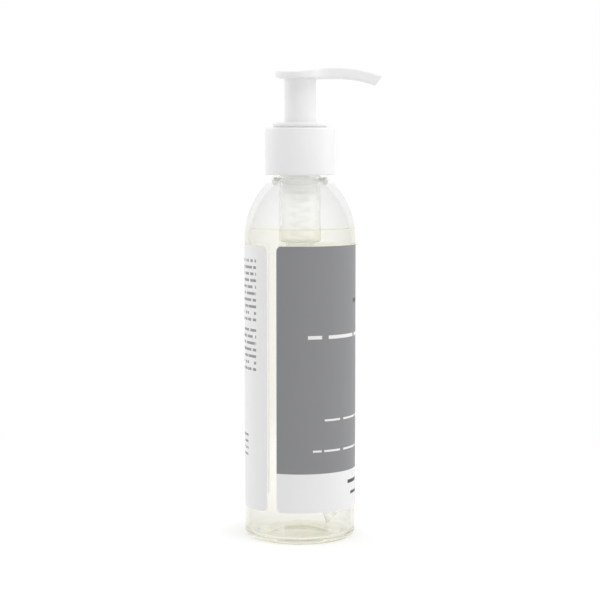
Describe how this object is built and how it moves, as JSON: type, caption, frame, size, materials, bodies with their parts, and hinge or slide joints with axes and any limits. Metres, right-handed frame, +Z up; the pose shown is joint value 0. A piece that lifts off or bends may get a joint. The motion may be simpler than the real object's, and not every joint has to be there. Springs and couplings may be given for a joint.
{
  "type": "pump oil bottle",
  "caption": "Clear round bottle of pale oil with wrap labels and a white screw-on lotion pump: drooping side spout, saddle press pad, lock ring, collar, spring piston and dip tube.",
  "frame": {"origin": "centre of the standing ring of the bottle, on the bottle axis", "axes": "+Z up along the bottle axis, +X the way the spout points"},
  "size_m": [0.0551, 0.0448, 0.1886],
  "materials": {
    "clear_bottle": "clear smooth polyester",
    "front_label": "matte printed film, grey over a white foot band",
    "back_label": "matte white printed film",
    "oil": "clear pale oil",
    "white_plastic": "satin white moulded polypropylene",
    "natural_plastic": "translucent natural polypropylene",
    "seal_plastic": "soft translucent polyethylene",
    "soft_foam": "white foamed liner",
    "ball_glass": "polished glass",
    "spring_steel": "bright drawn wire"
  },
  "bodies": {
    "bottle": {"bottle": "clear_bottle", "front_label": "front_label", "back_label": "back_label", "oil_fill": "oil"},
    "pump_unit": {"pump_housing": "natural_plastic", "neck_gasket": "soft_foam", "dip_tube": "natural_plastic", "lock_ring": "white_plastic", "return_spring": "spring_steel"},
    "collar": {"screw_collar": "white_plastic"},
    "plunger": {"valve_rod": "white_plastic"},
    "piston": {"piston_seal": "seal_plastic"},
    "actuator": {"actuator_head": "white_plastic", "pump_stem": "white_plastic"},
    "inlet_valve": {"inlet_ball": "ball_glass"}
  },
  "joints": [
    {"name": "pump_lift", "type": "slide", "parent": "bottle", "child": "pump_unit", "axis": [0, 0, 1], "range_m": [0, 0.00476]},
    {"name": "collar_turn", "type": "hinge", "parent": "pump_unit", "child": "collar", "pos_m": [0, 0, 0.155], "axis": [0, 0, 1], "range_deg": [0, 540]},
    {"name": "pump_stroke", "type": "slide", "parent": "pump_unit", "child": "plunger", "axis": [0, 0, -1], "range_m": [0, 0.015], "stiffness_N_per_m": 450, "springref_m": -0.012, "deforming": ["return_spring"]},
    {"name": "piston_slip", "type": "slide", "parent": "plunger", "child": "piston", "axis": [0, 0, 1], "range_m": [0, 0.0008]},
    {"name": "head_swivel", "type": "hinge", "parent": "plunger", "child": "actuator", "pos_m": [0, 0, 0.175], "axis": [0, 0, 1], "continuous": true},
    {"name": "inlet_ball_lift", "type": "slide", "parent": "pump_unit", "child": "inlet_valve", "axis": [0, 0, 1], "range_m": [0, 0.0015]}
  ],
  "couplings": [
    {"joint": "pump_lift", "follows": "collar_turn", "m_per_rad": 0.00050532}
  ]
}
